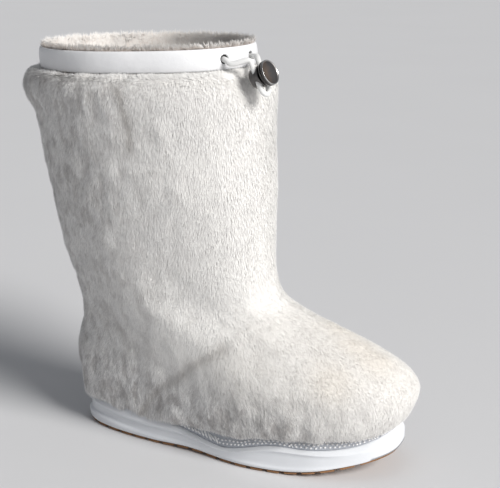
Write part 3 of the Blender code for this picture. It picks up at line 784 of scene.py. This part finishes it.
def roughOf(points):
    # how tufted the pile is: most at the heel and along the foot's lower edge
    back = 1 - smoothStep(points[:, 0], *tufted["back"])
    low = 1 - smoothStep(points[:, 2], *tufted["low"])
    rough = clamp(tufted["least"] + tufted["backShare"] * back
                  + tufted["lowShare"] * low * (1 - back * tufted["lowLoss"]))
    return rough * (1 - tufted["toeLoss"] * smoothStep(points[:, 0], *tufted["toe"]))


def eased(mesh, points, outer):
    # the pile rounds off the folds that the leather has at the ankle and instep
    low, high, fade = skin["easeFrom"], skin["easeTo"], skin["easeFade"]
    x, z = points[:, 0], points[:, 2]
    shape = bmesh.new()
    shape.from_mesh(mesh)
    shape.verts.ensure_lookup_table()
    wide = (outer > 0.5) & (z > low - fade) & (z < high + fade)
    chosen = [shape.verts[number] for number in np.nonzero(wide)[0]]
    for _ in range(skin["easePasses"]):
        bmesh.ops.smooth_vert(shape, verts=chosen, factor=0.5, use_axis_x=True, use_axis_y=True,
                              use_axis_z=True)
    shape.to_mesh(mesh)
    shape.free()
    share = smoothStep(z, low, low + fade) * (1 - smoothStep(z, high - fade, high))
    # the bend in front of the ankle stays
    share *= 1 - skin["easeFrontLoss"] * smoothStep(x, *skin["easeFront"])
    points = points + (pointsOf(mesh) - points) * share[:, None]
    mesh.vertices.foreach_set("co", points.reshape(-1))
    mesh.update()
    return points, normalsOf(mesh)


def makeSkin():
    pelt = Finish("shearlingSkin", {"Roughness": 0.9, "Sheen Weight": 0.2})
    # the skin is painted darker than the locks: painted shade in the crevices between locks, broken up by
    # noise
    tone = pelt.spot(500, 4.0, 0.6, (1.0, 1.0, 0.35))
    pelt.set("Base Color", pelt.mix(tone, tint(0.56, 0.54, 0.51), tint(0.80, 0.79, 0.78)))
    pelt.bump(tone, 0.0012, 0.8)
    inside = Finish("liningSkin", {"Roughness": 0.95, "Sheen Weight": 0.2})
    fluff = inside.spot(420, 4.0, 0.6)
    inside.set("Base Color", inside.mix(fluff, tint(0.42, 0.34, 0.28), tint(0.74, 0.67, 0.60)))
    inside.bump(fluff, 0.0016, 0.8)
    shape = merged("upper", 30.0)
    mesh = bpy.data.meshes.new("shearlingSkin")
    shape.to_mesh(mesh)
    shape.free()
    piece = newPiece("shearlingSkin", mesh, [pelt, inside])
    rounding = piece.modifiers.new("rounding", "SUBSURF")
    rounding.levels = skin["levels"]
    rounding.render_levels = skin["levels"]
    mesh = applied(piece)
    mesh.shade_smooth()
    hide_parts("upper")
    count = len(mesh.vertices)
    points = pointsOf(mesh)
    normals = normalsOf(mesh)
    spine = np.array(skin["spine"])
    best = np.full(count, farAway)
    away = np.zeros((count, 3))
    for start, end in zip(spine, spine[1:]):
        step = end - start
        share = clamp(((points[:, [0, 2]] - start) @ step) / (step @ step))
        foot = start + share[:, None] * step
        offset = np.column_stack([points[:, 0] - foot[:, 0], points[:, 1], points[:, 2] - foot[:, 1]])
        size = np.linalg.norm(offset, axis=1)
        closer = size < best
        best[closer] = size[closer]
        away[closer] = offset[closer]
    away /= np.maximum(np.linalg.norm(away, axis=1, keepdims=True), 1e-6)
    outward = (normals * away).sum(axis=1)
    outer = smoothStep(outward, *skin["facing"])
    roll = smoothStep(points[:, 2], *skin["roll"]) * (normals[:, 2] > skin["rollFacing"])
    outer = np.maximum(outer, roll)
    under = smoothStep(-normals[:, 2], *skin["underFacing"])
    under = under * (1 - smoothStep(points[:, 2], *skin["underTop"]))
    points, normals = eased(mesh, points, outer)
    rough = roughOf(points)
    swell = np.array([noise.noise(Vector(point) * skin["swellScale"]) for point in points])
    swell = outer * (swell * skin["swell"] * (skin["swellLeast"] + rough) - skin["sink"])
    points = points + normals * swell[:, None]
    mesh.vertices.foreach_set("co", points.reshape(-1))
    normals = normalsOf(mesh)
    for face in mesh.polygons:
        face.material_index = 0 if outer[list(face.vertices)].mean() > 0.5 else 1
    mesh.update()
    return piece, points, normals, outer, under


def combOf(points, normals):
    # which way the pile lies: down the shaft, and forward and down over the foot
    x, y, z = points.T
    foot = smoothStep(x, *combing["footAlong"]) * (1 - smoothStep(z, *combing["footUp"]))
    down = np.column_stack([np.full(len(x), -0.10), np.zeros(len(x)), np.full(len(x), -1.0)])
    sideways = y / combing["halfWidth"] * 0.9
    forward = np.column_stack([np.full(len(x), 0.75), sideways, np.full(len(x), -0.55)])
    forward[:, 2] -= combing["plunge"] * (1 - smoothStep(z, *combing["lowUp"]))
    lay = down * (1 - foot)[:, None] + forward * foot[:, None]
    edge = smoothStep(z, *combing["rim"])[:, None]
    inward = np.column_stack([combing["middle"] - x, -y, np.full(len(x), 0.03)]) / combing["rimReach"]
    return lay * (1 - edge) + inward * edge


def lockMesh(name, finish):
    # one tapering lock, from its root to its tip
    shape = bmesh.new()
    bmesh.ops.create_grid(shape, x_segments=1, y_segments=1, size=0.5)
    for vert in shape.verts:
        front = vert.co.x > 0
        vert.co = Vector((1.0, 0.0, 1.0)) if front else Vector((0.0, math.copysign(0.5, vert.co.y), 0.0))
    bmesh.ops.remove_doubles(shape, verts=shape.verts, dist=0.001)
    mesh = bpy.data.meshes.new(name)
    shape.to_mesh(mesh)
    shape.free()
    tip = mesh.attributes.new("tip", "FLOAT", "POINT")
    tip.data.foreach_set("value", [vert.co.x for vert in mesh.vertices])
    mesh.materials.append(finish.material)
    holder = bpy.data.objects.new(name, mesh)
    scene.collection.objects.link(holder)
    return holder


def growLocks(name, ground, weights, values, finish, comb, marks):
    # scatters locks over a part of the ground mesh and lays each one along the comb
    mesh = ground.copy()
    area = sum(face.area for face in mesh.polygons if weights[list(face.vertices)].mean() > 0.5)
    store(mesh, "comb", comb, "FLOAT_VECTOR")
    store(mesh, "weight", weights)
    for markName, markValues in marks.items():
        store(mesh, markName, markValues)
    piece = newPiece(name, mesh, finish)
    mesh.materials.clear()
    lockHolder = lockMesh(name + "One", finish)
    tree = bpy.data.node_groups.new(name + "Growth", "GeometryNodeTree")
    tree.interface.new_socket("Geometry", in_out="INPUT", socket_type="NodeSocketGeometry")
    tree.interface.new_socket("Geometry", in_out="OUTPUT", socket_type="NodeSocketGeometry")
    graph = Graph(tree)
    surface = graph.add("NodeGroupInput")
    weight = graph.add("GeometryNodeInputNamedAttribute", {"data_type": "FLOAT"}, {"Name": "weight"})
    scattered = tree.nodes.new("GeometryNodeDistributePointsOnFaces")
    scattered.distribute_method = "RANDOM"
    scattered.use_legacy_normal = False
    graph.feed(scattered.inputs["Mesh"], surface)
    graph.feed(scattered.inputs["Density"], weight * (values["locks"] / area))
    seed = values["seed"] + sum(ord(letter) for letter in name)   # each part scatters its own roots
    scattered.inputs["Seed"].default_value = seed
    roots = Socket(graph, scattered.outputs["Points"])
    normal = Socket(graph, scattered.outputs["Normal"])
    rotation = Socket(graph, scattered.outputs["Rotation"])
    roots = graph.add("GeometryNodeStoreNamedAttribute", {"data_type": "FLOAT_VECTOR", "domain": "POINT"},
                      {"Geometry": roots, "Name": "softNormal", "Value": normal})
    chance = graph.add("FunctionNodeRandomValue", {"data_type": "FLOAT"}, {"Seed": seed + 1}, 1)
    roots = graph.add("GeometryNodeStoreNamedAttribute", {"data_type": "FLOAT", "domain": "POINT"},
                      {"Geometry": roots, "Name": "shade", "Value": chance})
    lay = graph.add("GeometryNodeInputNamedAttribute", {"data_type": "FLOAT_VECTOR"}, {"Name": "comb"})
    tufts = graph.add("ShaderNodeTexNoise", None, {"Scale": values["tuft"], "Detail": 1.0}, 1)
    sweeps = graph.add("ShaderNodeTexNoise", None, {"Scale": values["sweep"], "Detail": 0.0}, 1)
    middle = (0.5, 0.5, 0.5)
    for pattern, lean in ((tufts, growth["tuftLean"]), (sweeps, growth["sweepLean"])):
        strength = lean * values["wander"]
        offset = graph.vector("SUBTRACT", pattern, middle)
        offset = graph.vector("MULTIPLY", offset, (strength, strength, strength))
        lay = graph.vector("ADD", lay, offset)
    spread = growth["singleLean"] * values["wander"]
    single = graph.add("FunctionNodeRandomValue", {"data_type": "FLOAT_VECTOR"},
                       {0: (-spread, -spread, -spread), 1: (spread, spread, spread), "Seed": seed + 2})
    lay = graph.vector("ADD", lay, single)
    turned = graph.add("FunctionNodeAlignRotationToVector", {"axis": "X", "pivot_axis": "Z"},
                       {"Rotation": rotation, "Vector": lay})
    long = graph.add("GeometryNodeInputNamedAttribute", {"data_type": "FLOAT"}, {"Name": "long"})
    sizeChance = graph.add("FunctionNodeRandomValue", {"data_type": "FLOAT"},
                           {2: growth["sizes"][0], 3: growth["sizes"][1], "Seed": seed + 3}, 1)
    liftChance = graph.add("FunctionNodeRandomValue", {"data_type": "FLOAT"},
                           {2: growth["lifts"][0], 3: growth["lifts"][1], "Seed": seed + 4}, 1)
    size = graph.add("ShaderNodeCombineXYZ", None,
                     {0: long * sizeChance, 1: sizeChance * values["width"],
                      2: liftChance * values["lift"]})
    holder = graph.add("GeometryNodeObjectInfo", {"transform_space": "ORIGINAL"},
                       {"Object": lockHolder}, 4)
    locks = graph.add("GeometryNodeInstanceOnPoints", None,
                      {"Points": roots, "Instance": holder, "Rotation": turned, "Scale": size})
    real = graph.add("GeometryNodeRealizeInstances", None, {"Geometry": locks})
    end = tree.nodes.new("NodeGroupOutput")
    graph.feed(end.inputs[0], real)
    modifier = piece.modifiers.new("growth", "NODES")
    modifier.node_group = tree
    mesh = applied(piece)
    bpy.data.objects.remove(lockHolder)
    mesh.shade_smooth()
    soft = np.empty(len(mesh.vertices) * 3, dtype=np.float32)
    mesh.attributes["softNormal"].data.foreach_get("vector", soft)
    mesh.normals_split_custom_set_from_vertices(soft.reshape(-1, 3))
    for spare in ("softNormal", "comb", "weight", "long"):
        if spare in mesh.attributes:
            mesh.attributes.remove(mesh.attributes[spare])
    print(name, len(mesh.polygons), "faces")
    return piece


def furFinish():
    fur = Finish("shearlingPile", {"Roughness": 0.78, "Sheen Weight": 0.35, "Sheen Roughness": 0.45,
                                   "Specular IOR Level": 0.25})
    tip = fur.stored("tip")
    shade = fur.stored("shade")
    deep = fur.stored("deep")
    warm = fur.stored("warm")
    streak = fur.spot(210, 3.0, 0.55, (1.0, 1.0, 0.28))
    blotch = fur.spot(42, 3.0, 0.55)
    tuft = fur.spot(120, 3.0, 0.6, (1.0, 1.0, 0.55))
    rough = fur.stored("rough")
    # darker lock roots and darker valleys of the streak noise: painted shade in the depth of the pile;
    # the random tone per lock is the fur's own
    depth = fur.window(tip * 0.55 + shade * 0.22 + streak * 0.75, 0.18, 1.0)
    tone = fur.mix(depth, tint(0.68, 0.650, 0.615), tint(0.95, 0.943, 0.925))
    tone = fur.mix(fur.window(blotch, 0.40, 0.72) * 0.16, tone, tint(0.68, 0.67, 0.68))
    tone = fur.mix(0.64 - rough * 0.8, tone, tint(0.925, 0.910, 0.880))
    tone = fur.mix(warm * 0.36, tone, tint(0.86, 0.79, 0.69))
    # darker gaps between tufts and darker random locks: painted shade, heaviest where the pile is rough,
    # at the heel and along the lower edge
    gapShade = 1.0 - fur.window(tuft + shade * 0.06, 0.36, 0.60)
    speckShade = 1.0 - fur.window(shade, 0.30, 0.70)
    tone = fur.mix(gapShade * (0.03 + rough * 0.62), tone, tint(0.42, 0.39, 0.37))
    tone = fur.mix(speckShade * rough * 0.55, tone, tint(0.40, 0.39, 0.40))
    # painted shade along the seam, the ankle crease and the parting
    fur.set("Base Color", fur.mix(deep * 0.60, tone, tint(0.38, 0.35, 0.32)))
    fur.bump(streak * (0.06 + rough * 0.6) + tuft * (0.22 + rough * 1.8), 0.0015, 0.7)
    return fur


def liningFinish():
    fluff = Finish("liningFluff", {"Roughness": 0.85, "Sheen Weight": 0.3, "Specular IOR Level": 0.2})
    tip = fluff.stored("tip")
    shade = fluff.stored("shade")
    clump = fluff.spot(130, 3.0)
    # darker roots: painted shade in the depth of the fluff, with random tone and clump noise
    depth = fluff.window(tip * 0.7 + shade * 0.2 + clump * 0.4, 0.15, 1.0)
    fluff.set("Base Color", fluff.mix(depth, tint(0.68, 0.60, 0.54), tint(0.92, 0.90, 0.875)))
    return fluff


skinPiece, skinPoints, skinNormals, outerShare, underShare = makeSkin()
print("skin", len(skinPiece.data.polygons))

skinTree = BVHTree.FromPolygons([tuple(point) for point in skinPoints],
                                [tuple(face.vertices) for face in skinPiece.data.polygons])
# painted shade along the seam, the ankle crease and the parting, traced onto the skin
paintedShadeMarks = np.zeros(len(skinPoints))
for lineName, (strength, reach) in paintedShadeLines.items():
    linePlaces = traced(skinTree, skin[lineName])
    paintedShadeMarks = paintedShadeMarks + strength * nearness(skinPoints, linePlaces, reach)
paintedShadeMarks = clamp(paintedShadeMarks)
warmMarks = np.zeros(len(skinPoints))
for spotPixel in skin["cream"]:
    spotHit = skinTree.ray_cast(view["place"], sightLine(spotPixel))[0]
    if spotHit is not None:
        warmMarks = np.maximum(warmMarks, nearness(skinPoints, np.array([spotHit]), creamTint["reach"]))
overFoot = creamTint["footShare"] * smoothStep(skinPoints[:, 0], *creamTint["along"])
warmMarks = clamp(warmMarks + overFoot * (1 - smoothStep(skinPoints[:, 2], *creamTint["up"])))


def growAll():
    fur = furFinish()
    fluff = liningFinish()
    points = skinPoints
    comb = combOf(points, skinNormals)
    x, y, z = points.T
    foot = 1 - smoothStep(z, *zones["foot"])
    side = 1 - smoothStep(y, *zones["side"])
    lower = 1 - smoothStep(z, *zones["lower"])
    extra = zones["lowerLength"] - zones["lowerLoss"] * smoothStep(x, *zones["lowerAlong"])
    long = pile["shaftLength"] + (pile["vampLength"] - pile["shaftLength"]) * foot + extra * lower
    trim = smoothStep(x, *zones["trimAlong"]) * (1 - smoothStep(z, *zones["trimUp"]))
    long = long - zones["trimLength"] * trim - zones["topLength"] * smoothStep(z, *zones["topUp"])
    marks = {"deep": paintedShadeMarks, "warm": warmMarks, "rough": roughOf(points), "long": long}
    outer = (outerShare > 0.5).astype(float) * (1 - underShare)
    parts = {
        "shaftPileOuter": outer * (1 - foot) * side,
        "shaftPileInner": outer * (1 - foot) * (1 - side),
        "footPileOuter": outer * foot * side,
        "footPileInner": outer * foot * (1 - side),
    }
    made = [growLocks(name, skinPiece.data, weights, pile, fur, comb, marks)
            for name, weights in parts.items()]
    inner = (outerShare <= 0.5) * smoothStep(z, *zones["liningUp"])
    upward = np.column_stack([np.zeros(len(points)), np.zeros(len(points)), np.full(len(points), -0.4)])
    insideMarks = {"long": np.full(len(points), lining["length"])}
    made.append(growLocks("liningFluff", skinPiece.data, inner, lining, fluff, upward,
                          insideMarks))
    ground = binding.data
    rimPoints, rimNormals = pointsOf(ground), normalsOf(ground)
    middle = (rimPoints.max(axis=0) + rimPoints.min(axis=0)) / 2
    inward = middle - rimPoints
    inward[:, 2] = 0.0
    inward /= np.linalg.norm(inward, axis=1, keepdims=True)
    faced = (rimNormals * inward).sum(axis=1)
    rimWeights = (faced > zones["rimFacing"]).astype(float)
    for hole in eyelets:
        apart = np.linalg.norm(rimPoints - np.array(hole["centre"]), axis=1)
        rimWeights *= smoothStep(apart, *zones["eyeletClear"])
    made.append(growLocks("rimFluff", ground, rimWeights, rimFluff, fluff,
                          inward * 0.3 + np.array((0.0, 0.0, 0.8)),
                          {"long": np.full(len(rimPoints), rimFluff["length"])}))
    return made


pilePieces = growAll()
print("pile", len(pilePieces), "parts")


# floor, light and world

studio = {
    "floor": tint(0.68, 0.68, 0.69),
    "floorCloud": tint(0.66, 0.66, 0.67),
    "floorHalf": 15.0,
    "world": tint(0.82, 0.85, 0.90),
    "worldStrength": 0.29,
    "sun": {"from": (1.30, -0.40, 0.95), "angle": 24.0, "power": 3.6, "colour": (1.0, 0.985, 0.965)},
    "key": {"place": (0.95, -0.35, 0.30), "size": 0.6, "power": 1.2, "colour": (1.0, 0.99, 0.97)},
    "keyAim": (0.08, 0.0, 0.14),
}


def addLight(data, place, aim):
    light = bpy.data.objects.new(data.name, data)
    light.location = place
    light.rotation_euler = (aim - place).to_track_quat("-Z", "Y").to_euler()
    scene.collection.objects.link(light)


def makeStudio():
    ground = Finish("paleFloor", {"Roughness": 0.7})
    ground.set("Base Color", ground.mix(ground.spot(3, 2.0), studio["floor"], studio["floorCloud"]))
    shape = bmesh.new()
    bmesh.ops.create_grid(shape, x_segments=4, y_segments=4, size=studio["floorHalf"])
    mesh = bpy.data.meshes.new("floor")
    shape.to_mesh(mesh)
    shape.free()
    mesh.materials.append(ground.material)
    floor = bpy.data.objects.new("floor", mesh)
    scene.collection.objects.link(floor)
    world = bpy.data.worlds.new("studio")
    world.use_nodes = True
    world.node_tree.nodes["Background"].inputs["Color"].default_value = studio["world"]
    world.node_tree.nodes["Background"].inputs["Strength"].default_value = studio["worldStrength"]
    scene.world = world
    sun = bpy.data.lights.new("sun", "SUN")
    sun.angle = math.radians(studio["sun"]["angle"])
    sun.energy = studio["sun"]["power"]
    sun.color = studio["sun"]["colour"]
    addLight(sun, Vector(studio["sun"]["from"]), Vector())
    key = bpy.data.lights.new("key", "AREA")
    key.shape = "DISK"
    key.size = studio["key"]["size"]
    key.energy = studio["key"]["power"]
    key.color = studio["key"]["colour"]
    addLight(key, Vector(studio["key"]["place"]), Vector(studio["keyAim"]))


makeStudio()
scene.view_settings.view_transform = "Standard"
print("studio")
